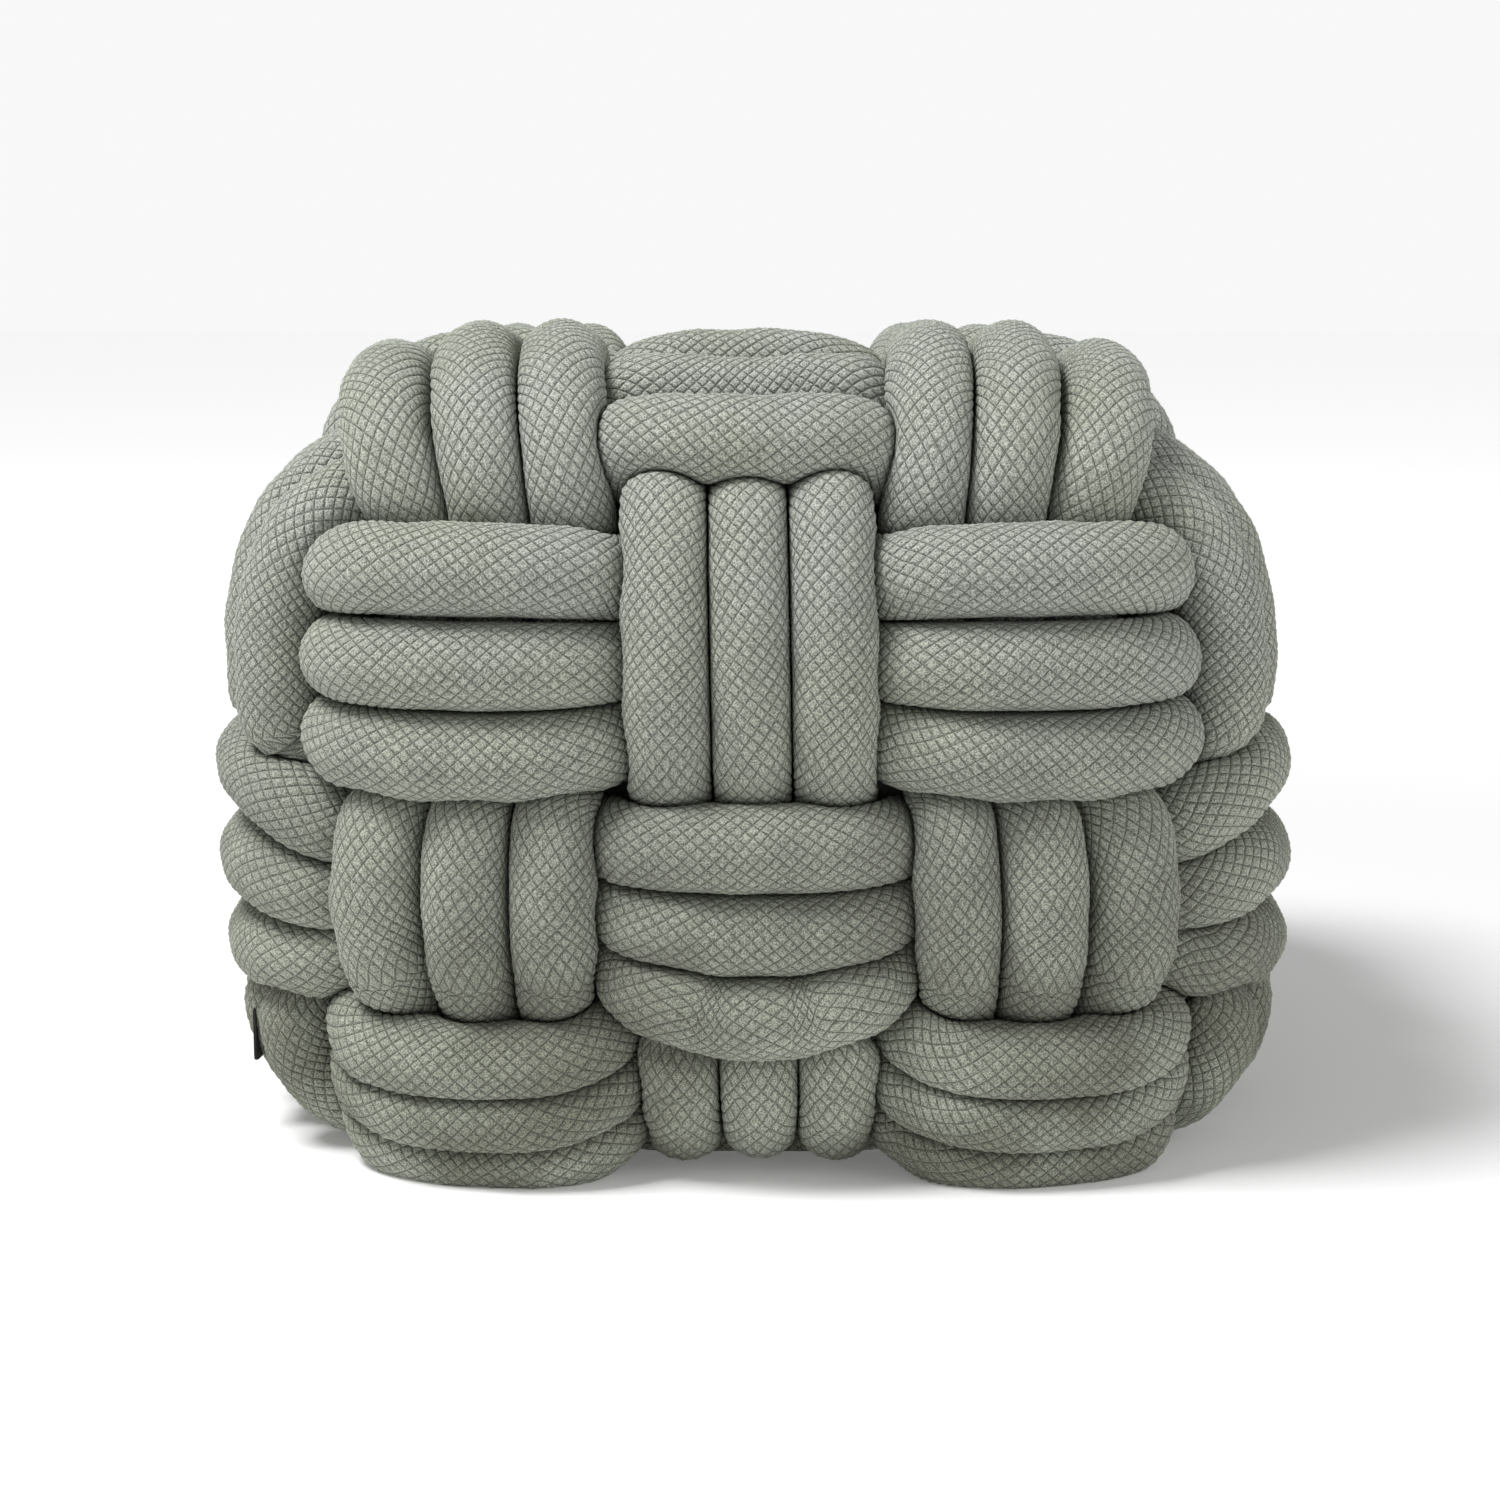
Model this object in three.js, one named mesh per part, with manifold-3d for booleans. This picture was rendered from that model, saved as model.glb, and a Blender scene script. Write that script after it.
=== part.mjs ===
// A knotted cube pouf: 27 closed loops of padded knit tube, plaited over and under each other
// around a stuffed inner cushion. Three bands of three loops run fore and aft, three run from
// side to side and three go round the waist. Units are millimetres, +Z is up and the front faces
// -Y. The origin is on the floor under the middle of the pouf.
import * as THREE from 'three';
import { RoundedBoxGeometry } from 'three/addons/geometries/RoundedBoxGeometry.js';
import { mergeVertices } from 'three/addons/utils/BufferGeometryUtils.js';
import Module from 'manifold-3d';

// The weave's centre surface, halfway between the strands that lie over and those that lie under.
const HALF_WIDTH = 218;        // middle of the pouf to each side
const BOTTOM = 27;             // height of the centre surface under the pouf
const SIDE_RISE = 310;         // from there to the height where the sides end
const CROWN = 29;              // the front of the top above that height
const EDGE_ROUND = 21.5;       // width that each rounded edge takes from a face
const UPPER_SQUARENESS = 5.2;  // 2 would be an ellipse, more is squarer
const BASE_SQUARENESS = 20;    // the base is pressed square by the weight
const SETTLING = 1.6;          // 1 would space the waist loops evenly, more crowds the low ones
const DIP = 8;                 // the top dips this much along each of its two middle lines
const DIP_WIDTH = 90;          // how far those furrows reach to each side
const LEAN = 0.04;             // the top falls this much for each millimetre towards the back
const CORNER_DRAW = 0.12;      // how far the corners are drawn in at the base

// The strands.
const STRAND_WIDTH = 41;       // a free strand, measured along the face
const STRAND_DEPTH = 47;       // a free strand, measured through the face
const STRAND_PITCH = 36.5;     // neighbours in a band press against each other
const OVER_UNDER = 20;         // how far a strand swings out and in from the centre surface
const OVER_UNDER_BASE = 7.5;   // the same on the floor, where the weight flattens it
const WAIST_SWELL = 1.3;       // the lower and centre waist bands swing out this much more
const FLATNESS = 1.4;          // 0 gives a plain wave, more gives flatter crossings
const SAG = 0.029 * SIDE_RISE;  // an over-crossing sags this much more for each waist band below the top one
const SPREAD = 11;             // over-crossings of the centre waist band spread apart by this much
const SIDE_LIFT = 20;          // the centre waist band rides this much higher on the sides
const SIDE_SPREAD = 6.5;       // and spreads apart this much more there
const TUCK = 0.0387 * SIDE_RISE; // the lower band rides up this much where other strands curl below it
const FOOT = 16;               // side-to-side strands bulge out this much more at the foot
const HELD_OUT = 3;            // 1 would flatten their low crossings as early as the rest, more keeps them out
const EDGE_SLIDE = 26;         // the outer strand over the top's front and back edges slides out this far
const EDGE_PULL = 0.6;         // the one beside it is held down by this share of its swing
const PINCH = 18;              // the outer fore-and-aft bands are pinched inwards near the top
const LOWEST_CENTRE = 14;      // a strand flattened on the floor still has this much under its middle
const STRAND_GAP = 3;          // between neighbouring surfaces

// The inner cushion.
const CORE_CLEARANCE = 6;      // between the cushion and the loops around it
const CORE_ROUND = 62;
const COVER_WALL = 1.5;
const FIT_GAP = 0.3;
const CLOSURE_LENGTH = 220;
const CLOSURE_WIDTH = 14;

// The sewn-on blank label.
const LABEL_HEIGHT = 27;
const LABEL_LENGTH = 34;
const LABEL_THICKNESS = 1.6;
const LABEL_RISE = 48;

// Fineness of the solids.
const LOOP_STEPS = 48;
const SECTION_SIDES = 6;
const CURVE_STEPS = 1440;
const START_ANGLE = -0.75 * Math.PI;
const STRAND_PHASE = 0.28 * Math.PI;  // of the wave, from one strand of a crossed band to the next
const CHORD_PARTS = 4;
const CORE_SEGMENTS = 3;

const bandPitch = (2 * (HALF_WIDTH - EDGE_ROUND)) / 3;
const waistHeight = strandHeight(0);
const topRise = BOTTOM + SIDE_RISE + CROWN - waistHeight;
const baseDrop = waistHeight - BOTTOM;

// The inner cushion fills what the strands that lie under leave free.
const underReach = OVER_UNDER + STRAND_DEPTH / 2 + CORE_CLEARANCE;
const coreWidth = 2 * (HALF_WIDTH - underReach);
const coreBase = BOTTOM + OVER_UNDER_BASE + STRAND_DEPTH / 2 + CORE_CLEARANCE;
const coreTop = BOTTOM + SIDE_RISE + CROWN - 2 * DIP - LEAN * HALF_WIDTH - underReach;

const FAMILIES = [
  { name: 'fore_aft', bands: ['left', 'middle', 'right'], along: ['y', 'z'], across: 'x' },
  { name: 'side_to_side', bands: ['front', 'centre', 'rear'], along: ['z', 'x'], across: 'y' },
  { name: 'waist', bands: ['lower', 'centre', 'upper'], along: ['x', 'y'], across: 'z' },
];
// On the faces that look along x, y and z, this family lies over where band numbers add to even.
const OVER_ON_FACE = { x: 1, y: 2, z: 0 };

// Where a loop turns from one face to the next, in the scaled coordinates below.
const CORNER = 0.5 ** (1 / UPPER_SQUARENESS);

const knit = new THREE.MeshStandardMaterial({ color: 0x9da396, roughness: 0.92, metalness: 0 });
const lining = new THREE.MeshStandardMaterial({ color: 0xd8d6cf, roughness: 0.9, metalness: 0 });
const fibre = new THREE.MeshStandardMaterial({ color: 0xf1efe9, roughness: 1, metalness: 0 });
const tag = new THREE.MeshStandardMaterial({ color: 0x2a2b2a, roughness: 0.8, metalness: 0 });

// Height of a waist strand whose place on an unloaded side runs from -1 at the base to 1 at the top.
function strandHeight(place) {
  return BOTTOM + SIDE_RISE * ((1 + place) / 2) ** SETTLING;
}

// The centre surface is a rounded box |x|^n + |y|^n + |z|^n = 1 in these scaled coordinates.
function scaled(axis, value) {
  if (axis !== 'z') return value / HALF_WIDTH;
  if (value > waistHeight) return (value - waistHeight) / topRise;
  return -(((waistHeight - value) / baseDrop) ** (BASE_SQUARENESS / UPPER_SQUARENESS));
}

function unscaled(axis, value) {
  if (axis !== 'z') return value * HALF_WIDTH;
  if (value > 0) return waistHeight + value * topRise;
  return waistHeight - baseDrop * (-value) ** (UPPER_SQUARENESS / BASE_SQUARENESS);
}

// What is left for the other two directions on the plane at this scaled distance.
function reach(distance) {
  return (1 - Math.abs(distance) ** UPPER_SQUARENESS) ** (1 / UPPER_SQUARENESS);
}

// 0 at the waist and below, 1 at the top.
function riseShare(point) {
  return Math.max(0, point.z - waistHeight) / topRise;
}

// 0 at the waist and above, 1 at the floor.
function lowShare(point) {
  return Math.max(0, 1 - point.z / waistHeight);
}

function surfaceNormal(point) {
  const normal = new THREE.Vector3();
  for (const axis of ['x', 'y']) {
    normal[axis] = Math.sign(point[axis]) * (Math.abs(point[axis]) / HALF_WIDTH) ** (UPPER_SQUARENESS - 1);
    normal[axis] *= UPPER_SQUARENESS / HALF_WIDTH;
  }
  const height = point.z - waistHeight;
  const squareness = height > 0 ? UPPER_SQUARENESS : BASE_SQUARENESS;
  const extent = height > 0 ? topRise : baseDrop;
  normal.z = Math.sign(height) * (squareness / extent) * (Math.abs(height) / extent) ** (squareness - 1);
  return normal.normalize();
}

// The point of the centre surface in this direction, on the plane of a family at this distance.
function surfacePoint(family, angle, distance) {
  const [first, second] = family.along;
  const cosine = Math.cos(angle);
  const sine = Math.sin(angle);
  const size = reach(scaled(family.across, distance))
    / (Math.abs(cosine) ** UPPER_SQUARENESS + Math.abs(sine) ** UPPER_SQUARENESS) ** (1 / UPPER_SQUARENESS);
  const point = new THREE.Vector3();
  point[first] = unscaled(first, cosine * size);
  point[second] = unscaled(second, sine * size);
  point[family.across] = distance;
  const furrows = Math.exp(-((point.x / DIP_WIDTH) ** 2)) + Math.exp(-((point.y / DIP_WIDTH) ** 2));
  const fall = LEAN * (point.y + HALF_WIDTH);
  point.z -= (DIP * furrows + fall) * riseShare(point) ** 4;
  const corner = (point.x * point.y) ** 2 / HALF_WIDTH ** 4;
  const inwards = 1 - CORNER_DRAW * corner * lowShare(point);
  point.x *= inwards;
  point.y *= inwards;
  return point;
}

// Where a strand lies: its distance along the family's own axis.
function strandPlace(axis, band, strand) {
  const place = band * bandPitch + strand * STRAND_PITCH;
  return axis === 'z' ? strandHeight(place / HALF_WIDTH) : place;
}

// How much higher a waist strand lies where it passes over than where it passes under. Sideways is
// 1 on the left and right sides and 0 on the front and back.
function waistShift(band, strand, sideways) {
  if (band !== 0) return -SAG * (1 - band) + (strand * SPREAD) / 2;
  return -SAG + strand * SPREAD + sideways * (SIDE_LIFT + strand * SIDE_SPREAD);
}

// The same shift when it is over, or when it is under.
function heightShift(band, strand, sideways, over, under) {
  return over * waistShift(band, strand, sideways) + (band < 0 ? under * TUCK : 0);
}

// Whether a loop lies over the one that it meets on the faces that look along this axis.
function liesOver(familyIndex, band, faceAxis, other) {
  const even = (band + other) % 2 === 0;
  return (OVER_ON_FACE[faceAxis] === familyIndex) === even;
}

// The direction in which a loop on this plane meets another strand on one of its four faces.
function crossingAngle(familyIndex, band, face, other, strand, distance) {
  const family = FAMILIES[familyIndex];
  const axis = family.along[face % 2];
  const faceAxis = family.along[(face + 1) % 2];
  let height = strandPlace(axis, other, strand);
  if (axis === 'z') {
    const under = liesOver(familyIndex, band, faceAxis, other) ? 1 : 0;
    height += heightShift(other, strand, faceAxis === 'x' ? 1 : 0, 1 - under, under);
  }
  const ratio = scaled(axis, height) / reach(scaled(family.across, distance));
  const place = Math.min(CORNER, Math.max(-CORNER, ratio));
  const out = reach(place);
  const corners = [[place, -out], [out, place], [place, out], [-out, place]];
  const angle = Math.atan2(corners[face][1], corners[face][0]);
  return face === 3 && angle < 0 ? angle + 2 * Math.PI : angle;
}

function interpolate(value, from, to) {
  let index = 1;
  while (index < from.length - 1 && from[index] < value) index += 1;
  const share = (value - from[index - 1]) / (from[index] - from[index - 1]);
  return to[index - 1] + share * (to[index] - to[index - 1]);
}

// Angles and lengths along one loop of the centre surface.
function measureLoop(family, distance) {
  const angles = [];
  const lengths = [];
  let previous = surfacePoint(family, START_ANGLE, distance);
  for (let step = 0; step <= CURVE_STEPS; step += 1) {
    const angle = START_ANGLE + (2 * Math.PI * step) / CURVE_STEPS;
    const point = surfacePoint(family, angle, distance);
    angles.push(angle);
    lengths.push((lengths.at(-1) ?? 0) + point.distanceTo(previous));
    previous = point;
  }
  return { angles, lengths };
}

// The wave that a loop follows: 1 where it lies over, -1 where it lies under.
function wave(phase) {
  const plain = Math.cos(phase);
  return plain * Math.sqrt((1 + FLATNESS ** 2) / (1 + (FLATNESS * plain) ** 2));
}

// Lengths at which the loop meets each strand of its twelve crossings, and the wave's phase there.
function crossingPhases(familyIndex, band, distance, measured) {
  const family = FAMILIES[familyIndex];
  const lengths = [];
  const phases = [];
  let middle = liesOver(familyIndex, band, family.along[1], -1) ? 0 : Math.PI;
  for (const face of [0, 1, 2, 3]) {
    const order = face < 2 ? [-1, 0, 1] : [1, 0, -1];
    for (const other of order) {
      for (const [index, strand] of order.entries()) {
        const angle = crossingAngle(familyIndex, band, face, other, strand, distance);
        const length = interpolate(angle, measured.angles, measured.lengths);
        lengths.push(Math.max(length, lengths.at(-1) ?? length));
        phases.push(middle + (index - 1) * STRAND_PHASE);
      }
      middle += Math.PI;
    }
  }
  const total = measured.lengths.at(-1);
  return { lengths: [...lengths, lengths[0] + total], phases: [...phases, phases[0] + 12 * Math.PI] };
}

// 1 in the middle of the top and 0 where the outer fore-and-aft bands cross it and on the sides.
function topMiddle(point) {
  return Math.max(0, surfaceNormal(point).z) * Math.max(0, 1 - (point.x / bandPitch) ** 2);
}

// 1 for the outer strand of the front or rear side-to-side band, 0 for its inner one.
function edgeShare(familyIndex, band, strand) {
  return familyIndex === 1 && band !== 0 ? (1 + strand * band) / 2 : 0;
}

// How far a strand's plane moves along its family's axis at this point.
function planeShift(familyIndex, band, swing, share, point) {
  if (familyIndex === 0) return -band * PINCH * riseShare(point) * (2 - swing) / 3;
  return band * EDGE_SLIDE * share * topMiddle(point);
}

// How far a strand swings out from the centre surface at this point.
function swingSize(familyIndex, band, strand, swing, share, point) {
  if (familyIndex === 2 && swing > 0) return OVER_UNDER * (band < 1 ? WAIST_SWELL : 1);
  const held = 4 * share * (1 - share) * Math.max(0, swing) * topMiddle(point);
  const size = OVER_UNDER * (1 - EDGE_PULL * held);
  const nearFloor = lowShare(point) ** (familyIndex === 1 && swing > 0 ? HELD_OUT : 1);
  const pressed = nearFloor * (familyIndex === 2 ? (1 - strand) / 2 : 1);
  return size + (OVER_UNDER_BASE - size) * pressed;
}

// How far the side-to-side strands are pressed outwards where they turn under at the foot.
function footSpread(familyIndex, swing, point) {
  if (familyIndex !== 1) return 0;
  return (FOOT * lowShare(point) ** 2 * Math.max(0, swing + 0.5)) / 1.5;
}

// One loop's centre line, with the outward direction at each of its points.
function centreLine(familyIndex, band, strand) {
  const family = FAMILIES[familyIndex];
  const distance = strandPlace(family.across, band, strand);
  const measured = measureLoop(family, distance);
  const crossings = crossingPhases(familyIndex, band, distance, measured);
  const points = [];
  const normals = [];
  for (let step = 0; step < LOOP_STEPS; step += 1) {
    const phase = crossings.phases[0] + (12 * Math.PI * (step + 0.5)) / LOOP_STEPS;
    const length = interpolate(phase, crossings.phases, crossings.lengths) % measured.lengths.at(-1);
    const angle = interpolate(length, measured.lengths, measured.angles);
    const swing = wave(phase);
    const share = edgeShare(familyIndex, band, strand);
    const level = surfacePoint(family, angle, distance);
    const shift = planeShift(familyIndex, band, swing, share, level);
    const point = surfacePoint(family, angle, distance + shift);
    const normal = surfaceNormal(point);
    const size = swingSize(familyIndex, band, strand, swing, share, point);
    if (familyIndex === 2) {
      normal.setZ(0).normalize();
      point.z += heightShift(band, strand, normal.x ** 2, Math.max(0, swing), Math.max(0, -swing));
    }
    point.addScaledVector(normal, swing * size + footSpread(familyIndex, swing, point));
    point.z = Math.max(point.z, LOWEST_CENTRE);
    points.push(point);
    normals.push(normal);
  }
  return { points, normals };
}

// The same loop with its straight chords cut into parts, for measuring how near its neighbours are.
function chordFrames(line) {
  const count = line.points.length;
  const corners = line.points.map((point, index) => {
    const tangent = line.points[(index + 1) % count].clone().sub(line.points[(index + count - 1) % count]);
    const side = new THREE.Vector3().crossVectors(tangent, line.normals[index]).normalize();
    const out = new THREE.Vector3().crossVectors(side, tangent).normalize();
    return { point, side, out };
  });
  return corners.flatMap((corner, index) => {
    const next = corners[(index + 1) % count];
    return Array.from({ length: CHORD_PARTS }, (_, part) => ({
      point: corner.point.clone().lerp(next.point, part / CHORD_PARTS),
      side: corner.side.clone().lerp(next.side, part / CHORD_PARTS).normalize(),
      out: corner.out.clone().lerp(next.out, part / CHORD_PARTS).normalize(),
    }));
  });
}

function cornerDirection(frame, corner) {
  const angle = (2 * Math.PI * corner) / SECTION_SIDES;
  return frame.side.clone().multiplyScalar(Math.cos(angle)).addScaledVector(frame.out, Math.sin(angle));
}

// The strand stops halfway to each neighbour and at the floor, or at its own free size.
function cornerRadius(frame, corner, neighbours) {
  const direction = cornerDirection(frame, corner);
  const across = direction.dot(frame.side) / STRAND_WIDTH;
  const through = direction.dot(frame.out) / STRAND_DEPTH;
  let radius = 0.5 / Math.hypot(across, through);
  const toNeighbour = new THREE.Vector3();
  for (const neighbour of neighbours) {
    toNeighbour.subVectors(neighbour, frame.point);
    const ahead = toNeighbour.dot(direction);
    if (ahead > 0) radius = Math.min(radius, toNeighbour.lengthSq() / (2 * ahead) - STRAND_GAP / 2);
  }
  return radius;
}

// One ring of section points at each corner of the loop. Its straight sides stay as thin as the
// thinnest place on the chords that meet there.
function loopSections(frames, otherPoints) {
  const count = frames.length;
  const radii = frames.map((frame) => {
    const neighbours = otherPoints.filter((point) => point.distanceTo(frame.point) < 2 * STRAND_DEPTH);
    return Array.from({ length: SECTION_SIDES }, (_, corner) => cornerRadius(frame, corner, neighbours));
  });
  const sections = [];
  for (let index = 0; index < count; index += CHORD_PARTS) {
    const frame = frames[index];
    sections.push(radii[index].map((_, corner) => {
      const direction = cornerDirection(frame, corner);
      const floor = direction.z < 0 ? -frame.point.z / direction.z : Infinity;
      let radius = floor;
      for (let shift = -CHORD_PARTS; shift <= CHORD_PARTS; shift += 1) {
        radius = Math.min(radius, radii[(index + shift + count) % count][corner]);
      }
      const point = frame.point.clone().addScaledVector(direction, radius);
      if (radius === floor) point.z = 0;
      return point;
    }));
  }
  return sections;
}

// A closed ring of quads, each cut in two.
function ringGeometry(sections) {
  const positions = sections.flat().flatMap((point) => point.toArray());
  const indices = [];
  for (let step = 0; step < sections.length; step += 1) {
    for (let corner = 0; corner < SECTION_SIDES; corner += 1) {
      const here = step * SECTION_SIDES;
      const ahead = ((step + 1) % sections.length) * SECTION_SIDES;
      const next = (corner + 1) % SECTION_SIDES;
      indices.push(here + corner, ahead + corner, here + next);
      indices.push(here + next, ahead + corner, ahead + next);
    }
  }
  const geometry = new THREE.BufferGeometry();
  geometry.setAttribute('position', new THREE.Float32BufferAttribute(positions, 3));
  geometry.setIndex(indices);
  geometry.computeVertexNormals();
  return geometry;
}

function namedMesh(name, geometry, material) {
  const mesh = new THREE.Mesh(geometry, material);
  mesh.name = name;
  return mesh;
}

// All the loops, each shaped by where its neighbours run.
function wovenLoops() {
  const loops = [];
  for (const [familyIndex, family] of FAMILIES.entries()) {
    for (const band of [-1, 0, 1]) {
      for (const strand of [-1, 0, 1]) {
        const name = `${family.name}_${family.bands[band + 1]}_${strand + 2}`;
        const line = centreLine(familyIndex, band, strand);
        loops.push({ name, line, frames: chordFrames(line) });
      }
    }
  }
  return loops.map((loop) => {
    const others = loops.filter((other) => other !== loop).flatMap((other) => other.frames);
    return { ...loop, sections: loopSections(loop.frames, others.map((frame) => frame.point)) };
  });
}

// The closed solid of a mesh, for cutting and joining.
function solidOf(geometry, wasm) {
  const bare = geometry.clone();
  bare.deleteAttribute('normal');
  bare.deleteAttribute('uv');
  const merged = mergeVertices(bare, 1e-3);
  return new wasm.Manifold(new wasm.Mesh({
    numProp: 3,
    vertProperties: new Float32Array(merged.attributes.position.array),
    triVerts: new Uint32Array(merged.index.array),
  }));
}

function geometryOf(solid) {
  const mesh = solid.getMesh();
  const geometry = new THREE.BufferGeometry();
  geometry.setAttribute('position', new THREE.BufferAttribute(mesh.vertProperties, 3));
  geometry.setIndex(new THREE.BufferAttribute(mesh.triVerts, 1));
  geometry.computeVertexNormals();
  return geometry;
}

// A rounded block centred on the inner cushion, this much smaller than the cushion all round.
function coreBlock(inset) {
  const width = coreWidth - 2 * inset;
  const height = coreTop - coreBase - 2 * inset;
  const block = new RoundedBoxGeometry(width, width, height, CORE_SEGMENTS, CORE_ROUND - inset);
  return block.translate(0, 0, (coreBase + coreTop) / 2);
}

// The slit in the underside of the cover, or the strip that closes it, by its clearance.
function closureBlock(clearance, thickness) {
  const block = new THREE.BoxGeometry(CLOSURE_LENGTH + 2 * clearance, CLOSURE_WIDTH + 2 * clearance, thickness);
  return block.translate(0, 0, coreBase + COVER_WALL / 2);
}

// The inner cushion: a sewn cover, the strip that closes its filling slit, and its filling.
function innerCushion(wasm) {
  const shell = solidOf(coreBlock(0), wasm).subtract(solidOf(coreBlock(COVER_WALL), wasm));
  const cover = shell.subtract(solidOf(closureBlock(FIT_GAP, 3 * COVER_WALL), wasm));
  return [
    namedMesh('core_cover', geometryOf(cover), lining),
    namedMesh('core_closing_strip', closureBlock(0, COVER_WALL), lining),
    namedMesh('core_filling', coreBlock(COVER_WALL + FIT_GAP), fibre),
  ];
}

// The label lies flat against the left side of the front side-to-side band, near the floor.
function label(loops) {
  const strand = loops.find((loop) => loop.name === 'side_to_side_front_2');
  const beside = (point) => point.x < 0 && Math.abs(point.z - LABEL_RISE) < LABEL_HEIGHT;
  const outermost = Math.min(...strand.sections.flat().filter(beside).map((point) => point.x));
  const middle = strand.frames.map((frame) => frame.point).find(beside);
  const mesh = namedMesh('label', new THREE.BoxGeometry(LABEL_THICKNESS, LABEL_LENGTH, LABEL_HEIGHT), tag);
  mesh.position.set(outermost - FIT_GAP - LABEL_THICKNESS / 2, middle.y, LABEL_RISE);
  return mesh;
}

const wasm = await Module();
wasm.setup();

const pouf = new THREE.Group();
const loops = wovenLoops();
for (const loop of loops) pouf.add(namedMesh(loop.name, ringGeometry(loop.sections), knit));
pouf.add(...innerCushion(wasm));
pouf.add(label(loops));

export default pouf;
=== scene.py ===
"""Looks of a knotted cube pouf: 27 closed loops of padded, diamond-quilted knit tube.

Three bands of three loops run fore and aft, three run from side to side and three go round the
waist. Every band lies over one band and under the next. Lengths are metres, +Z is up and the front
faces -Y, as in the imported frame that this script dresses.
"""

import logging
import math
from dataclasses import dataclass, field
from enum import Enum
from typing import ClassVar

import bmesh
import bpy
import numpy as np
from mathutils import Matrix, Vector


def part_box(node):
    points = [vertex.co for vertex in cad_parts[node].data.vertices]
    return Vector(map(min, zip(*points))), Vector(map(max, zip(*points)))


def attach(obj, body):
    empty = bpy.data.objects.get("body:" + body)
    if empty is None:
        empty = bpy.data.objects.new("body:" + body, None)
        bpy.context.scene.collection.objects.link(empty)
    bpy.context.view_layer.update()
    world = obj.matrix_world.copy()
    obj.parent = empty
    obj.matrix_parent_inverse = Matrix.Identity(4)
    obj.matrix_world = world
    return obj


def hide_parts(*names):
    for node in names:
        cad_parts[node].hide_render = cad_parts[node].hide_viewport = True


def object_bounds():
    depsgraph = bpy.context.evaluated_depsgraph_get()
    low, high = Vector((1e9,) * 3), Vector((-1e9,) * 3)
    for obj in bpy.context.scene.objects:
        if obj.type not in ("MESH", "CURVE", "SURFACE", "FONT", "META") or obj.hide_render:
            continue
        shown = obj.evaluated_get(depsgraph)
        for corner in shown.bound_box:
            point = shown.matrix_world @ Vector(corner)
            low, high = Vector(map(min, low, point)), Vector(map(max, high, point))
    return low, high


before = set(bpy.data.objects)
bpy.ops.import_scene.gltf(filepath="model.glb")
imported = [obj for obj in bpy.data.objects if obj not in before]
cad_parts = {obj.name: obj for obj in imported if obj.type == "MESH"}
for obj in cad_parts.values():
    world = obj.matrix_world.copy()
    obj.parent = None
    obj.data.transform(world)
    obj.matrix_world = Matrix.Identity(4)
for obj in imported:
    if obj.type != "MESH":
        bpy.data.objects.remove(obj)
CAD_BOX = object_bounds()

LOG = logging.getLogger("pouf")
Colour = tuple[float, float, float, float]
BODY = "root"


class Family(Enum):
    """The three ways a loop can run, each with the axis that its plane stands across."""

    FORE_AFT = 0
    SIDE_TO_SIDE = 1
    WAIST = 2

    @property
    def across(self) -> int:
        """The axis square to the loop's plane."""
        return self.value

    @property
    def along(self) -> tuple[int, int]:
        """The two axes of the loop's plane, in right-handed order."""
        return (self.value + 1) % 3, (self.value + 2) % 3

    @property
    def bands(self) -> tuple[str, str, str]:
        """The names of the family's three bands, from the low side of its axis to the high side."""
        names = {
            Family.FORE_AFT: ("left", "middle", "right"),
            Family.SIDE_TO_SIDE: ("front", "centre", "rear"),
            Family.WAIST: ("lower", "centre", "upper"),
        }
        return names[self]


# On a face that looks along x, y or z, this family lies over where the band numbers add to even.
OVER_ON_FACE = (Family.SIDE_TO_SIDE, Family.WAIST, Family.FORE_AFT)


class Slot(Enum):
    """Names for the pouf's material slots; nothing in this script uses them."""

    KNIT = "knit"
    LINING = "lining"
    FIBRE = "fibre"
    LABEL = "label"


@dataclass(frozen=True)
class StrandSize:
    """Sizes of one stuffed tube and of the wave that it follows."""

    width: float = 0.0455  # of a free tube, along the face
    depth: float = 0.0475  # of a free tube, through the face
    swing: float = 0.020  # to each side of the centre surface
    base_swing: float = 0.0075  # the same on the floor
    waist_swell: float = 1.3  # of the lower and centre waist bands
    held_out: float = 3.0  # above 1, low side-to-side crossings are flattened less
    foot: float = 0.016  # bulge of the side-to-side strands at the foot
    foot_from: float = -0.5  # the wave's value where that bulge begins
    flatness: float = 1.4  # of the crossings; 0 gives a plain cosine
    lowest_centre: float = 0.014  # height of a strand's middle on the floor
    gap: float = 0.0003  # between two strands that touch


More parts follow.
